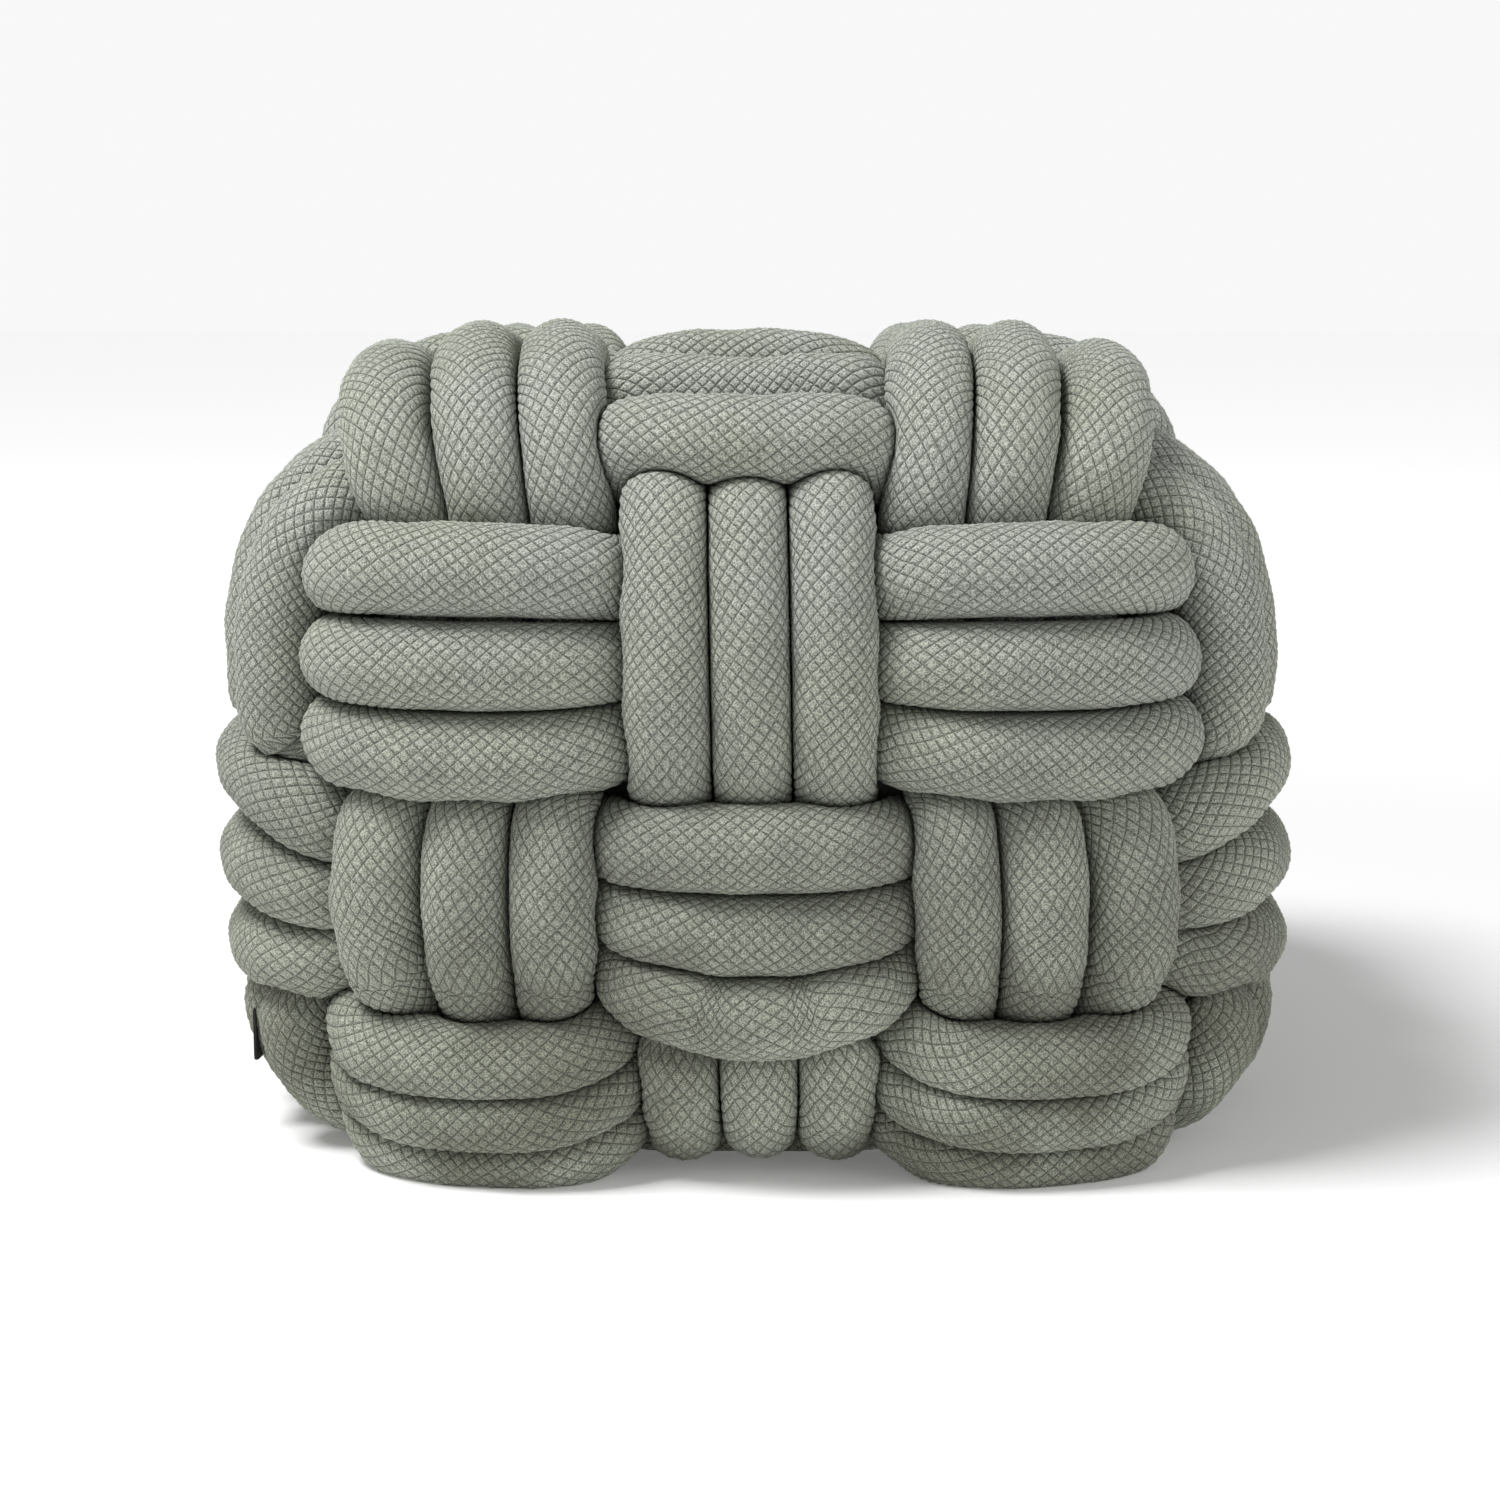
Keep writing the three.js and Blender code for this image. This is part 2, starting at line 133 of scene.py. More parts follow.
@dataclass(frozen=True)
class CentreSurface:
    """The rounded box that runs midway between the strands that lie over and those under.

    It is |x|^n + |y|^n + |h|^m = 1, with x and y measured in half widths and h in the rise above
    or the drop below the waist. The base has its own, higher power m.
    """

    half_width: float
    top: float
    bottom: float
    waist: float
    squareness: float = 5.2
    base_squareness: float = 20.0
    dip: float = 0.008  # of the furrows along the top's two middle lines
    dip_width: float = 0.09  # of a furrow, to each side
    lean: float = 0.04  # the top's fall for each metre towards the back
    corner_draw: float = 0.12  # of the base's corners

    def scaled(self, axis: int, value: np.ndarray) -> np.ndarray:
        """Coordinates in which the surface is an even power sum.

        Args:
            axis: 0, 1 or 2.
            value: Places along that axis.

        Returns:
            The same places, from -1 to 1.
        """
        value = np.asarray(value, float)
        if axis < 2:
            return value / self.half_width
        up = (value - self.waist) / (self.top - self.waist)
        down = np.maximum(self.waist - value, 0) / (self.waist - self.bottom)
        return np.where(value > self.waist, up, -(down ** (self.base_squareness / self.squareness)))

    def unscaled(self, axis: int, value: np.ndarray) -> np.ndarray:
        """The inverse of scaled.

        Args:
            axis: 0, 1 or 2.
            value: Scaled places.

        Returns:
            Places in metres.
        """
        if axis < 2:
            return value * self.half_width
        up = self.waist + value * (self.top - self.waist)
        drop = np.maximum(-value, 0) ** (self.squareness / self.base_squareness)
        return np.where(value > 0, up, self.waist - (self.waist - self.bottom) * drop)

    def reach(self, distance: np.ndarray) -> np.ndarray:
        """What is left for the other two axes on the plane at this scaled distance."""
        return (1 - np.abs(distance) ** self.squareness) ** (1 / self.squareness)

    def point(self, family: Family, angle: np.ndarray, distance: np.ndarray) -> np.ndarray:
        """Where the plane of a loop cuts the surface.

        Args:
            family: Which way the loop runs.
            angle: Directions in the loop's plane, in radians.
            distance: Places of the plane along the family's axis.

        Returns:
            An array of points, one for each angle.
        """
        first, second = family.along
        cosine, sine = np.cos(angle), np.sin(angle)
        power = self.squareness
        size = self.reach(self.scaled(family.across, distance))
        size = size / (np.abs(cosine) ** power + np.abs(sine) ** power) ** (1 / power)
        points = np.empty((len(angle), 3))
        points[:, first] = self.unscaled(first, cosine * size)
        points[:, second] = self.unscaled(second, sine * size)
        points[:, family.across] = distance
        height = np.maximum(points[:, 2] - self.waist, 0) / (self.top - self.waist)
        furrows = np.exp(-((points[:, :2] / self.dip_width) ** 2)).sum(1)
        fall = self.lean * (points[:, 1] + self.half_width)
        points[:, 2] -= (self.dip * furrows + fall) * height**4
        low = np.maximum(1 - points[:, 2] / self.waist, 0)
        corner = (points[:, :2] ** 2).prod(1) / self.half_width**4
        points[:, :2] *= (1 - self.corner_draw * corner * low)[:, None]
        return points

    def normal(self, points: np.ndarray) -> np.ndarray:
        """The surface's outward direction at these points, which is the power sum's gradient."""
        steep = self.squareness
        flat = np.abs(points[:, :2]) / self.half_width
        slope = np.sign(points[:, :2]) * flat ** (steep - 1) * steep / self.half_width
        height = points[:, 2] - self.waist
        power = np.where(height > 0, steep, self.base_squareness)
        extent = np.where(height > 0, self.top - self.waist, self.waist - self.bottom)
        rise = np.sign(height) * power / extent * (np.abs(height) / extent) ** (power - 1)
        return unit(np.column_stack([slope, rise]))


@dataclass(frozen=True)
class WeaveLayout:
    """Where the bands and strands lie, and how they sag."""

    band_pitch: float
    strand_pitch: float
    half_width: float
    bottom: float
    side_rise: float
    settling: float = 1.6  # above 1 it crowds the low waist loops
    sag: float = 0.009  # of an over-crossing, for each waist band below the top one
    spread: float = 0.011  # of the centre waist band where it lies over
    side_lift: float = 0.020  # of the same band, on the sides only
    side_spread: float = 0.0065  # and its further spread there
    tuck: float = 0.012  # lift of the lower band where it lies under
    edge_slide: float = 0.026  # of the top's outermost strand, over the edge
    edge_pull: float = 0.6  # share of the swing that the one beside it loses
    pinch: float = 0.018  # of the outer fore-and-aft bands near the top
    slant: float = 0.02  # of the whole knot to the left, by height

    def height(self, place: float) -> float:
        """Height of a waist strand, from its place on an unloaded side.

        Args:
            place: -1 at the base and 1 at the top.

        Returns:
            The settled height, which crowds the low strands.
        """
        return self.bottom + self.side_rise * ((1 + place) / 2) ** self.settling

    def plane(self, axis: int, band: int, strand: int = 0) -> float:
        """The place of a strand's plane along its family's axis."""
        place = band * self.band_pitch + strand * self.strand_pitch
        return self.height(place / self.half_width) if axis == 2 else place

    def waist_shift(self, band: int, strand: int, sideways: np.ndarray) -> np.ndarray:
        """How much higher a waist strand lies where it passes over than where it passes under.

        Lower bands sag more, a band's strands spread, and the centre band rides high on the sides.

        Args:
            band: -1 to 1, from the lower band up.
            strand: -1 to 1, from the lower strand up.
            sideways: 1 on the left and right sides, 0 on the front and back.

        Returns:
            The shift for each share.
        """
        if band:
            return -self.sag * (1 - band) + strand * self.spread / 2 + 0 * sideways
        lift = self.side_lift + strand * self.side_spread
        return -self.sag + strand * self.spread + sideways * lift


def unit(vectors: np.ndarray) -> np.ndarray:
    """The same vectors with length 1."""
    return vectors / np.linalg.norm(vectors, axis=-1, keepdims=True)


def resample_ring(values: np.ndarray, count: int) -> np.ndarray:
    """A closed ring of points spread evenly by length, through a smooth curve.

    Args:
        values: The ring's points, n by 3.
        count: How many points to return.

    Returns:
        count by 3 points on the Catmull-Rom curve through the given ones.
    """
    fine = 8
    share = np.arange(fine)[None, :, None] / fine
    before, here = np.roll(values, 1, 0)[:, None], values[:, None]
    ahead, beyond = np.roll(values, -1, 0)[:, None], np.roll(values, -2, 0)[:, None]
    curve = 0.5 * (
        2 * here
        + (ahead - before) * share
        + (2 * before - 5 * here + 4 * ahead - beyond) * share**2
        + (3 * here - before - 3 * ahead + beyond) * share**3
    )
    curve = curve.reshape(-1, 3)
    closed = np.vstack([curve, curve[:1]])
    length = np.concatenate([[0], np.cumsum(np.linalg.norm(np.diff(closed, axis=0), axis=1))])
    wanted = np.arange(count) / count * length[-1]
    return np.column_stack([np.interp(wanted, length, closed[:, k]) for k in range(3)])


def ring_length(points: np.ndarray) -> float:
    """The length of a closed ring of points."""
    return float(np.linalg.norm(np.roll(points, -1, 0) - points, axis=1).sum())


@dataclass
class Strand:
    """One closed loop of stuffed tube."""

    family: Family
    band: int
    place: int
    surface: CentreSurface
    layout: WeaveLayout
    size: StrandSize
    samples: int = 160
    line: np.ndarray = field(init=False)
    outward: np.ndarray = field(init=False)

    CURVE_STEPS: ClassVar[int] = 1440
    START_ANGLE: ClassVar[float] = -0.75 * math.pi
    CROSSINGS: ClassVar[int] = 12
    STRAND_PHASE: ClassVar[float] = 0.28 * math.pi
    SEED_STEP: ClassVar[float] = 2.4

    def __post_init__(self) -> None:
        """Lays the strand's centre line."""
        self.line, self.outward = self.lay()

    @property
    def name(self) -> str:
        """The name of the CAD node that this strand stands for."""
        return f"{self.family.name.lower()}_{self.family.bands[self.band + 1]}_{self.place + 2}"

    @property
    def seed(self) -> float:
        """An angle that differs from strand to strand."""
        return self.SEED_STEP * (9 * self.family.value + 3 * self.band + self.place)

    def crossing_angle(self, face: int, other: int, strand: int, distance: float) -> float:
        """The direction in which the loop meets another strand on one of its four faces.

        Args:
            face: 0 to 3, counted round the loop's plane.
            other: The band that crosses, -1 to 1.
            strand: The strand of that band, -1 to 1.
            distance: The place of this loop's plane.

        Returns:
            The angle in the loop's plane, from the starting angle on.
        """
        axis, looks = self.family.along[face % 2], self.family.along[(face + 1) % 2]
        reach = self.surface.reach(self.surface.scaled(self.family.across, distance))
        place = self.layout.plane(axis, other, strand)
        if axis == 2 and not self.lies_over(looks, other):
            place += self.layout.waist_shift(other, strand, looks == 0)
        elif axis == 2 and other == -1:
            place += self.layout.tuck
        corner = 0.5 ** (1 / self.surface.squareness)
        ratio = float(np.clip(self.surface.scaled(axis, place) / reach, -corner, corner))
        out = float(self.surface.reach(ratio))
        first, second = ((ratio, -out), (out, ratio), (ratio, out), (-out, ratio))[face]
        angle = math.atan2(second, first)
        return angle + 2 * math.pi if face == 3 and angle < 0 else angle

    def lies_over(self, looks: int, other: int) -> bool:
        """Whether the loop is the outer one where it meets a band on the faces along an axis."""
        even = (self.band + other) % 2 == 0
        return (OVER_ON_FACE[looks] is self.family) == even

    def lay(self) -> tuple[np.ndarray, np.ndarray]:
        """Carries the over-and-under wave along the loop's cut through the centre surface.

        Returns:
            The centre line's points and their outward directions.
        """
        distance = self.layout.plane(self.family.across, self.band, self.place)
        angle = self.START_ANGLE + np.linspace(0, 2 * math.pi, self.CURVE_STEPS + 1)
        curve = self.surface.point(self.family, angle, np.full(len(angle), distance))
        steps = np.linalg.norm(np.diff(curve, axis=0), axis=1)
        length = np.concatenate([[0], np.cumsum(steps)])
        rising, falling = (-1, 0, 1), (1, 0, -1)
        met = [
            self.crossing_angle(face, other, strand, distance)
            for face, ways in enumerate((rising, rising, falling, falling))
            for other in ways for strand in ways
        ]
        crossing = np.maximum.accumulate(np.interp(met, angle, length))
        crossing = np.append(crossing, crossing[0] + length[-1])
        first = 0.0 if self.lies_over(self.family.along[1], -1) else math.pi
        middles = first + math.pi * np.arange(self.CROSSINGS)
        knots = (middles[:, None] + self.STRAND_PHASE * np.arange(-1, 2)).ravel()
        span = math.pi * self.CROSSINGS
        knots = np.append(knots, knots[0] + span)
        phase = knots[0] + (np.arange(self.samples) + 0.5) / self.samples * span
        along = np.interp(phase, knots, crossing)
        angle = np.interp(along % length[-1], length, angle)
        return self.swing_out(angle, self.wave(phase), distance)

    def wave(self, phase: np.ndarray) -> np.ndarray:
        """A cosine with flattened crests: 1 where the loop lies over, -1 where it lies under."""
        plain = np.cos(phase)
        flat = self.size.flatness
        return plain * np.sqrt((1 + flat**2) / (1 + (flat * plain) ** 2))

    def swing_out(
        self, angle: np.ndarray, swing: np.ndarray, distance: float
    ) -> tuple[np.ndarray, np.ndarray]:
        """Moves the loop out and in by its wave, and lets what lies over sag or slide.

        Args:
            angle: Directions in the loop's plane.
            swing: The wave at each of them.
            distance: The place of the loop's plane.

        Returns:
            Points and outward directions.
        """
        plane = np.full(len(angle), distance)
        shift, held = self.slide(self.surface.point(self.family, angle, plane), swing)
        points = self.surface.point(self.family, angle, plane + shift)
        outward = self.surface.normal(points)
        if self.family is Family.WAIST:
            outward[:, 2] = 0
            outward = unit(outward)
            over, under = np.maximum(swing, 0), np.maximum(-swing, 0)
            points[:, 2] += over * self.layout.waist_shift(self.band, self.place, outward[:, 0] ** 2)
            points[:, 2] += self.layout.tuck * (self.band == -1) * under
        points = points + outward * self.push(points, swing, held)[:, None]
        points[:, 2] = np.maximum(points[:, 2], self.size.lowest_centre)
        points[:, 0] -= self.layout.slant * points[:, 2]
        return points, outward

    def slide(self, level: np.ndarray, swing: np.ndarray) -> tuple[np.ndarray, np.ndarray]:
        """How the loop's plane gives way sideways on and near the top.

        The strand at the top's front or back edge slides over it, and the one beside it is held
        down. The outer fore-and-aft bands are pinched in, wholly where they lie under and by a
        third where they lie over.

        Args:
            level: Points of the loop on the centre surface.
            swing: The wave at each of them.

        Returns:
            The plane's shift, and the share of the swing that is lost.
        """
        shift, held = np.zeros(len(swing)), np.zeros(len(swing))
        if self.family is Family.SIDE_TO_SIDE and self.band:
            facing_up = np.maximum(self.surface.normal(level)[:, 2], 0)
            middle = facing_up * np.maximum(1 - (level[:, 0] / self.layout.band_pitch) ** 2, 0)
            outer = (1 + self.place * self.band) / 2
            shift = self.band * self.layout.edge_slide * outer * middle
            beside = 4 * outer * (1 - outer)
            held = self.layout.edge_pull * beside * np.maximum(swing, 0) * middle
        if self.family is Family.FORE_AFT:
            rise = np.maximum(level[:, 2] - self.surface.waist, 0)
            rise = rise / (self.surface.top - self.surface.waist)
            shift = -self.band * self.layout.pinch * (2 - swing) / 3 * rise
        return shift, held

    def push(self, points: np.ndarray, swing: np.ndarray, held: np.ndarray) -> np.ndarray:
        """How far the wave carries each point out from the centre surface.

        Args:
            points: Points of the loop on the centre surface.
            swing: The wave at each of them.
            held: The share of the swing that is lost.

        Returns:
            Distances along the outward direction.
        """
        reach = self.size.swing * (1 - held)
        low = np.maximum(1 - points[:, 2] / self.surface.waist, 0)
        pressed, bulge = low, 0.0
        if self.family is Family.WAIST:
            swell = 1 if self.band == 1 else self.size.waist_swell
            reach = reach * np.where(swing > 0, swell, 1)
            pressed = (swing < 0) * (1 - self.place) / 2 * low
        elif self.family is Family.SIDE_TO_SIDE:
            pressed = low ** np.where(swing > 0, self.size.held_out, 1)
            begun = np.maximum(swing - self.size.foot_from, 0) / (1 - self.size.foot_from)
            bulge = self.size.foot * low**2 * begun
        return (reach + (self.size.base_swing - reach) * pressed) * swing + bulge


@dataclass
class Settling:
    """Lets the loops push each other into place, as they do when the knot is pulled tight.

    Each loop is a closed chain of points. Points of different loops keep a tube's width apart,
    the chain resists bending and stretching, and a weak pull keeps the laid shape.
    """

    spacing: float = 0.021  # of two touching strands' centre lines
    rounds: int = 90
    relist_every: int = 30  # rounds between two lists of near pairs
    relist_reach: float = 1.25  # pairs up to this many spacings apart are listed
    keep_shape: float = 0.08
    straighten: float = 0.12
    stretch: float = 0.25  # share of a link's error that each end takes up
    floor: float = 0.014  # the lowest that a centre line may lie

    def run(self, strands: list[Strand]) -> None:
        """Settles all the loops together.

        Args:
            strands: The loops, whose centre lines are changed.
        """
        laid = np.stack([strand.line for strand in strands])
        points = laid.copy()
        rest = np.linalg.norm(np.roll(laid, -1, 1) - laid, axis=2)
        for turn in range(self.rounds):
            if turn % self.relist_every == 0:
                first, second = self.near_pairs(points)
            points += self.keep_shape * (laid - points)
            middle = (np.roll(points, 1, 1) + np.roll(points, -1, 1)) / 2
            laid_middle = (np.roll(laid, 1, 1) + np.roll(laid, -1, 1)) / 2
            points += self.straighten * ((middle - points) - (laid_middle - laid))
            points = self.keep_lengths(points, rest)
            points = self.push_apart(points, first, second)
            points[..., 2] = np.maximum(points[..., 2], self.floor)
        for strand, line in zip(strands, points):
            strand.line = line

    def near_pairs(self, points: np.ndarray) -> tuple[np.ndarray, np.ndarray]:
        """Lists the pairs of points on different loops that may come to touch."""
        loops, count, _ = points.shape
        flat = points.reshape(-1, 3)
        firsts, seconds = [], []
        for index in range(loops - 1):
            start = (index + 1) * count
            gap = np.linalg.norm(points[index][:, None] - flat[None, start:], axis=2)
            near = np.argwhere(gap < self.spacing * self.relist_reach)
            firsts.append(near[:, 0] + index * count)
            seconds.append(near[:, 1] + start)
        return np.concatenate(firsts), np.concatenate(seconds)

    def push_apart(self, points: np.ndarray, first: np.ndarray, second: np.ndarray) -> np.ndarray:
        """Moves both points of each pair that is closer than the tubes allow."""
        flat = points.reshape(-1, 3)
        offset = flat[second] - flat[first]
        gap = np.linalg.norm(offset, axis=1)
        short = np.maximum(self.spacing - gap, 0)
        push = offset / gap[:, None] * (short * 0.5)[:, None]
        total = len(flat)
        touched = (short > 0).astype(float)
        share = np.bincount(first, touched, total) + np.bincount(second, touched, total)
        share = np.maximum(share, 1)
        moved = np.empty_like(flat)
        for axis in range(3):
            away = np.bincount(second, push[:, axis], total) - np.bincount(first, push[:, axis], total)
            moved[:, axis] = flat[:, axis] + away / share
        return moved.reshape(points.shape)

    def keep_lengths(self, points: np.ndarray, rest: np.ndarray) -> np.ndarray:
        """Draws each link of every chain back towards its laid length."""
        link = np.roll(points, -1, 1) - points
        length = np.linalg.norm(link, axis=2)
        fix = link * ((length - rest) / length * self.stretch)[..., None]
        return points + fix - np.roll(fix, 1, 1)


@dataclass
class TubeSkin:
    """The outside of a strand, pressed against its neighbours, with its quilted cells.

    In each section the tube reaches its free size, or halfway to the nearest neighbour. Folds too
    steep for the stuffing are then cut down and the skin is smoothed, which may carry it slightly
    past halfway. The grid's points fall on the corners and the middles of the diamonds, and the
    corners are sunk. The sleeve is twisted to and fro, and its stuffing is slightly uneven.
    """

    size: StrandSize
    cell: float = 0.0062  # a diamond's length along the tube
    cells_round: int = 22
    groove: float = 0.0006  # how far the diamonds' corners are sunk
    twist: float = 0.5  # the sleeve's greatest turn, in radians
    twist_length: float = 0.32  # from one such turn to the next
    lump: float = 0.0007  # unevenness of the stuffing
    steepest: float = 1.2  # the steepest fold that the stuffing fills
    passes: int = 6
    smoothings: int = 2
    blend_power: float = 13.0  # how sharply the free section meets a flat contact
    least: float = 0.001  # no section shrinks below this
    search: float = 0.075  # strands farther away than this can't touch
    chunk: int = 96  # rings worked out at a time

    LUMP_WAVES: ClassVar[tuple[tuple[int, int, int], ...]] = ((7, 2, 1), (11, -3, 2))

    def rings(self, line: np.ndarray) -> int:
        """How many rings of points the strand takes, two to a diamond."""
        return 2 * round(ring_length(line) / self.cell)

    def section_frames(
        self, line: np.ndarray, outward: np.ndarray
    ) -> tuple[np.ndarray, np.ndarray]:
        """Sideways and outward unit vectors, square to the strand at each ring."""
        tangent = unit(np.roll(line, -1, 0) - np.roll(line, 1, 0))
        out = unit(outward - (outward * tangent).sum(1)[:, None] * tangent)
        return np.cross(tangent, out), out

    def radii(self, line: np.ndarray, directions: np.ndarray, others: np.ndarray) -> np.ndarray:
        """How far the tube can reach in each direction before it meets a neighbour.

        Args:
            line: Centre points, n by 3.
            directions: Unit vectors, n by m by 3.
            others: Centre points of all the other strands.

        Returns:
            n by m distances to the planes halfway to the neighbours.
        """
        found = np.empty(directions.shape[:2])
        for start in range(0, len(line), self.chunk):
            rows = slice(start, start + self.chunk)
            centre = line[rows]
            middle = centre.mean(0)
            spread = np.linalg.norm(centre - middle, axis=1).max()
            near = others[np.linalg.norm(others - middle, axis=1) < spread + self.search]
            offset = near[None] - centre[:, None]
            square = (offset**2).sum(2)
            ahead = np.einsum("kqc,kmc->kmq", offset, directions[rows])
            limit = square[:, None, :] / (2 * np.maximum(ahead, 1e-6))
            found[rows] = limit.min(2)
        return found - self.size.gap / 2

    def soften(self, reach: np.ndarray, step: float) -> np.ndarray:
        """Cuts down folds that are steeper than the stuffing can fill, and smooths what is left.

        Smoothing takes each point halfway to the mean of the four beside it.

        Args:
            reach: How far the tube reaches at each point of the grid.
            step: The most that it may rise from one point to the next.

        Returns:
            The softened reach.
        """
        for _ in range(self.passes):
            beside = [np.roll(reach, shift, axis) for shift in (1, -1) for axis in (0, 1)]
            reach = np.minimum(reach, np.min(beside, axis=0) + step)
        for _ in range(self.smoothings):
            beside = [np.roll(reach, shift, axis) for shift in (1, -1) for axis in (0, 1)]
            reach = (reach + np.mean(beside, axis=0)) / 2
        return reach

    def grid(self, strand: Strand, others: np.ndarray) -> np.ndarray:
        """The skin's points.

        The free radius is 1 / (2 |(cos / width, sin / depth)|), plus lumps that are waves along
        and round the tube. The reach is (free^-p + limit^-p)^(-1/p), a soft smaller of the two.

        Args:
            strand: The loop to cover.
            others: Centre points of all the other strands.

        Returns:
            rings by sides by 3 points.
        """
        count = self.rings(strand.line)
        sides = 2 * self.cells_round
        line = resample_ring(strand.line, count)
        outward = unit(resample_ring(strand.outward, count))
        side, out = self.section_frames(line, outward)
        turn = np.arange(count)[:, None] / count * 2 * math.pi
        waves = round(ring_length(line) / self.twist_length)
        around = np.arange(sides)[None] / sides * 2 * math.pi
        around = around + self.twist * np.sin(waves * turn + strand.seed)
        cosine, sine = np.cos(around)[..., None], np.sin(around)[..., None]
        directions = side[:, None] * cosine + out[:, None] * sine
        free = 0.5 / np.hypot(cosine / self.size.width, sine / self.size.depth)[..., 0]
        for along, across, seeds in self.LUMP_WAVES:
            wave = np.sin(along * waves * turn + across * around + seeds * strand.seed)
            free = free + self.lump / 2 * wave
        power = self.blend_power
        limit = np.maximum(self.radii(line, directions, others), self.least)
        reach = (limit**-power + free**-power) ** (-1 / power)
        reach = self.soften(reach, self.steepest * self.cell / 2)
        corner = (np.arange(count)[:, None] + np.arange(sides)[None]) % 2 == 0
        reach = reach - self.groove * corner
        points = line[:, None] + directions * reach[..., None]
        points[..., 2] = np.maximum(points[..., 2], 0.0)
        return points


def lattice_mesh(name: str, points: np.ndarray) -> bpy.types.Object:
    """A closed tube mesh whose triangles meet along the diamonds' edges.

    Each quad is cut from corner to corner of the diamonds. The UV map counts diamonds along and
    round the tube, so that both sloping grooves lie where u + v or u - v is whole.

    Args:
        name: The piece's name.
        points: rings by sides by 3 points, closed both ways, with even counts.

    Returns:
        The new object.
    """
    rings, sides, _ = points.shape
    ring, side = np.meshgrid(np.arange(rings), np.arange(sides), indexing="ij")
    ring, side = ring.ravel(), side.ravel()
    steps = np.array([[0, 0], [1, 0], [1, 1], [0, 1]])
    even = ((ring + side) % 2 == 0)[:, None]
    order = np.where(even, [[0, 1, 2, 0, 2, 3]], [[0, 1, 3, 1, 2, 3]])
    lattice = np.stack([ring, side], 1)[:, None] + steps[order]
    index = lattice[..., 0] % rings * sides + lattice[..., 1] % sides
    uv = (lattice / 2).reshape(-1, 2)
    mesh = bpy.data.meshes.new(name)
    mesh.vertices.add(rings * sides)
    mesh.vertices.foreach_set("co", points.ravel())
    mesh.loops.add(index.size)
    mesh.loops.foreach_set("vertex_index", index.ravel())
    mesh.polygons.add(index.size // 3)
    mesh.polygons.foreach_set("loop_start", np.arange(0, index.size, 3))
    mesh.update(calc_edges=True)
    mesh.validate()
    mesh.uv_layers.new(name="quilting").data.foreach_set("uv", uv.ravel())
    mesh.shade_smooth()
    piece = bpy.data.objects.new(name, mesh)
    bpy.context.scene.collection.objects.link(piece)
    return piece


class Nodes:
    """Builds a material's node tree a step at a time."""

    def __init__(self, name: str) -> None:
        """Starts a material that holds only a Principled shader and its output."""
        self.material = bpy.data.materials.new(name)
        self.material.use_nodes = True
        self.tree = self.material.node_tree
        self.shader = self.tree.nodes["Principled BSDF"]

    def add(self, kind: str, inputs: dict | None = None, **settings: object) -> bpy.types.Node:
        """Adds a node.

        Args:
            kind: The node's Blender type name.
            inputs: Values or sockets for its inputs, by name or number.
            **settings: Properties of the node.

        Returns:
            The new node.
        """
        node = self.tree.nodes.new(kind)
        for name, value in settings.items():
            setattr(node, name, value)
        for name, value in (inputs or {}).items():
            self.feed(node.inputs[name], value)
        return node

    def feed(self, socket: bpy.types.NodeSocket, value: object) -> None:
        """Links a socket into another, or sets its value."""
        if isinstance(value, bpy.types.NodeSocket):
            self.tree.links.new(value, socket)
        else:
            socket.default_value = value

    def math(self, operation: str, *values: object) -> bpy.types.NodeSocket:
        """A Math node's result for up to three inputs."""
        inputs = dict(enumerate(values))
        return self.add("ShaderNodeMath", inputs, operation=operation).outputs[0]

    def ramp(self, value: bpy.types.NodeSocket, low: float, high: float) -> bpy.types.NodeSocket:
        """A smooth step from 0 at low to 1 at high."""
        inputs = {"Value": value, "From Min": low, "From Max": high}
        node = self.add("ShaderNodeMapRange", inputs, interpolation_type="SMOOTHSTEP")
        return node.outputs["Result"]

    def noise(self, scale: float, detail: float = 2.0) -> bpy.types.NodeSocket:
        """Noise on the piece's own coordinates, about 1 / scale metres across."""
        place = self.add("ShaderNodeTexCoord").outputs["Object"]
        inputs = {"Vector": place, "Scale": scale, "Detail": detail}
        return self.add("ShaderNodeTexNoise", inputs).outputs["Fac"]

    def mix(
        self, share: object, first: object, second: object, blend: str = "MIX"
    ) -> bpy.types.NodeSocket:
        """A colour between two others, or their product."""
        node = self.add("ShaderNodeMix", data_type="RGBA", blend_type=blend)
        self.feed(node.inputs["Factor"], share)
        self.feed(node.inputs[6], first)
        self.feed(node.inputs[7], second)
        return node.outputs[2]

    def bump(self, height: bpy.types.NodeSocket, distance: float, strength: float) -> None:
        """Gives the shader a bump of this height in metres."""
        inputs = {"Height": height, "Distance": distance, "Strength": strength}
        self.feed(self.shader.inputs["Normal"], self.add("ShaderNodeBump", inputs).outputs[0])


